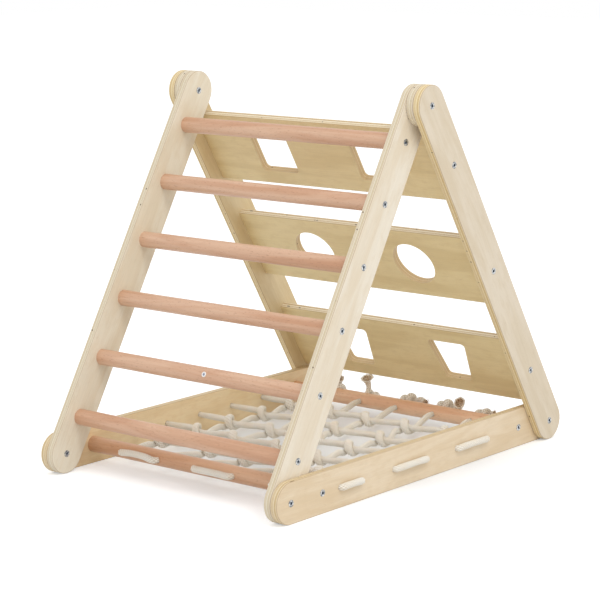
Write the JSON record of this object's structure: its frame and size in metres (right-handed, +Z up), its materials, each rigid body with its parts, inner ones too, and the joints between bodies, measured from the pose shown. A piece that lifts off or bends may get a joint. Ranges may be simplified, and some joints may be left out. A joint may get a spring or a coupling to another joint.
{
  "type": "toddler climbing triangle",
  "caption": "Wooden climbing triangle for toddlers: a rung ladder and a wall of cut-out panels lean together at an apex, tied at the floor by rails and dowels laced with a knotted rope net.",
  "frame": {"origin": "on the floor, under the apex, midway between the two sides", "axes": "+X across the frame along the rungs, +Y from the ladder's foot to the wall's foot, +Z up"},
  "size_m": [0.6068, 0.831, 0.7181],
  "materials": {
    "board_plywood": "clear matt lacquer on pale birch plywood, edges eased",
    "panel_plywood": "clear matt lacquer on birch plywood, edges eased",
    "rung_beech": "clear satin lacquer on turned beech",
    "pin_wood": "plain beech pins",
    "zinc_steel": "bright zinc plate",
    "rope": "braided off-white cotton rope"
  },
  "bodies": {
    "root": {"ladder_leg_left": "board_plywood", "ladder_leg_right": "board_plywood", "wall_leg_left": "board_plywood", "wall_leg_right": "board_plywood", "base_rail_left": "board_plywood", "base_rail_right": "board_plywood", "apex_spacer_left": "board_plywood", "apex_spacer_right": "board_plywood", "rung_1": "rung_beech", "rung_2": "rung_beech", "rung_3": "rung_beech", "rung_4": "rung_beech", "rung_5": "rung_beech", "rung_6": "rung_beech", "front_dowel": "rung_beech", "rear_dowel": "rung_beech", "wall_panel_top": "panel_plywood", "wall_panel_middle": "panel_plywood", "wall_panel_bottom": "panel_plywood", "apex_bolts": "zinc_steel", "apex_cap_nuts": "zinc_steel", "front_corner_bolts": "zinc_steel", "front_corner_cap_nuts": "zinc_steel", "rear_corner_bolts": "zinc_steel", "rear_corner_cap_nuts": "zinc_steel", "rung_screws": "zinc_steel", "dowel_screws": "zinc_steel", "panel_screws": "zinc_steel", "panel_pins": "pin_wood", "net_rope_left": "rope", "net_rope_middle": "rope", "net_rope_right": "rope", "net_cross_rope": "rope"}
  },
  "joints": []
}
